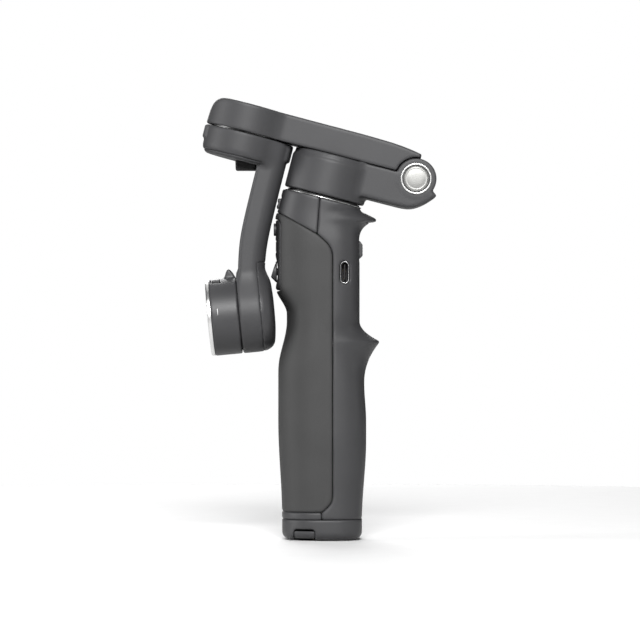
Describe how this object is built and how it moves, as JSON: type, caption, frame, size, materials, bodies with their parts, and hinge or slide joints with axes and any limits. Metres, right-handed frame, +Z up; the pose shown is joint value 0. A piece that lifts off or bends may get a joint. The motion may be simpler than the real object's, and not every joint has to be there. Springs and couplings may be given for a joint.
{
  "type": "gimbal stabilizer",
  "caption": "Folding three-axis phone gimbal: pistol handle with finger lips, pan arm, hinged folding arm, tilt arm and a round roll head for a magnetic clamp, folded.",
  "frame": {"origin": "centre of the tripod socket at the base's bottom face", "axes": "+Z up the handle, +X towards the trigger and finger lips, +Y towards the zoom slider side (the charging inlet is on -Y)"},
  "size_m": [0.0958, 0.035, 0.18],
  "materials": {
    "shell_plastic": "fine matte moulded plastic",
    "grip_rubber": "soft-touch rubber with a fine grain",
    "control_plastic": "satin moulded plastic",
    "arm_plastic": "fine matte coated plastic",
    "roll_plastic": "fine matte moulded plastic",
    "black_plastic": "matte black",
    "black_rubber": "matte black rubber",
    "dark_window": "smoked gloss window",
    "polished_metal": "polished",
    "pearl_metal": "satin pearl",
    "steel": "satin",
    "brass": "turned",
    "frame_metal": "die cast",
    "lamination": "stacked sheet",
    "magnet": "nickel plated",
    "copper": "enamelled wire",
    "circuit_board": "solder mask",
    "battery_wrap": "shrink film",
    "lead_jacket": "soft jacket",
    "flex_film": "polyimide film"
  },
  "bodies": {
    "handle": {"base_cap": "shell_plastic", "tripod_insert": "brass", "base_screws": "steel", "strap_bar": "steel", "base_band": "grip_rubber", "rear_grip": "grip_rubber", "front_shell": "shell_plastic", "neck_cover": "shell_plastic", "neck_ring": "polished_metal", "control_bezel": "control_plastic", "status_window": "dark_window", "chassis": "frame_metal", "battery_cell": "battery_wrap", "battery_leads": "lead_jacket", "main_board": "circuit_board", "control_board": "circuit_board", "usb_port_shell": "steel", "usb_tongue": "black_plastic", "trigger_switch": "black_plastic", "joystick_base": "black_plastic", "pan_motor_base": "black_plastic", "pan_stator_core": "lamination", "pan_windings": "copper", "pan_bearings": "steel", "trigger_spring": "steel"},
    "trigger": {"trigger": "control_plastic"},
    "joystick_yoke": {"joystick_yoke": "frame_metal"},
    "joystick": {"joystick_cap": "control_plastic"},
    "mode_button": {"mode_button": "control_plastic"},
    "power_button": {"power_button": "control_plastic"},
    "zoom_slider": {"zoom_slider": "control_plastic"},
    "pan_arm": {"pan_housing": "arm_plastic", "pan_cap": "arm_plastic", "pan_rotor": "frame_metal", "pan_magnets": "magnet", "hinge_pin": "steel", "hinge_cap_rings": "polished_metal", "hinge_caps": "pearl_metal"},
    "fold_arm": {"fold_arm": "arm_plastic", "fold_arm_cover": "arm_plastic", "arm_flex_cable": "flex_film", "tilt_motor_base": "black_plastic", "tilt_stator_core": "lamination", "tilt_windings": "copper", "tilt_bearings": "steel"},
    "tilt_arm": {"tilt_arm": "arm_plastic", "tilt_cap": "arm_plastic", "storage_bumper": "black_rubber", "tilt_rotor": "frame_metal", "tilt_magnets": "magnet", "roll_back_cover": "roll_plastic", "roll_motor_base": "black_plastic", "roll_stator_core": "lamination", "roll_windings": "copper", "roll_bearings": "steel"},
    "roll_head": {"roll_housing": "roll_plastic", "roll_rotor": "frame_metal", "clamp_ring": "polished_metal", "clamp_face": "black_plastic", "clamp_magnets": "magnet"}
  },
  "joints": [
    {"name": "pan", "type": "hinge", "parent": "handle", "child": "pan_arm", "pos_m": [0.0008, 0, 0.14], "axis": [0.2487, 0, 0.9686], "range_deg": [-30, 30]},
    {"name": "fold", "type": "hinge", "parent": "pan_arm", "child": "fold_arm", "pos_m": [0.03832, 0, 0.14699], "axis": [0, 1, 0], "range_deg": [0, 110]},
    {"name": "tilt", "type": "hinge", "parent": "fold_arm", "child": "tilt_arm", "pos_m": [-0.03273, 0, 0.161], "axis": [0.2487, 0, 0.9686], "range_deg": [-100, 78]},
    {"name": "roll", "type": "hinge", "parent": "tilt_arm", "child": "roll_head", "pos_m": [-0.0337, 0, 0.0915], "axis": [-0.9957, 0, -0.0924], "range_deg": [-120, 212]},
    {"name": "trigger_press", "type": "slide", "parent": "handle", "child": "trigger", "axis": [-1, 0, 0], "range_m": [0, 0.0009], "stiffness_N_per_m": 900, "deforming": ["trigger_spring"]},
    {"name": "joystick_side", "type": "hinge", "parent": "handle", "child": "joystick_yoke", "pos_m": [-0.0132, 0, 0.1092], "axis": [0, 0, 1], "range_deg": [-10, 10], "stiffness_Nm_per_rad": 0.02},
    {"name": "joystick_lift", "type": "hinge", "parent": "joystick_yoke", "child": "joystick", "pos_m": [-0.0132, 0, 0.1092], "axis": [0, 1, 0], "range_deg": [-10, 10], "stiffness_Nm_per_rad": 0.02},
    {"name": "mode_press", "type": "slide", "parent": "handle", "child": "mode_button", "axis": [1, 0, 0], "range_m": [0, 0.0005], "stiffness_N_per_m": 900},
    {"name": "power_press", "type": "slide", "parent": "handle", "child": "power_button", "axis": [1, 0, 0], "range_m": [0, 0.0005], "stiffness_N_per_m": 900},
    {"name": "zoom_slide", "type": "slide", "parent": "handle", "child": "zoom_slider", "axis": [0, 0, 1], "range_m": [-0.003, 0.003], "stiffness_N_per_m": 120}
  ]
}
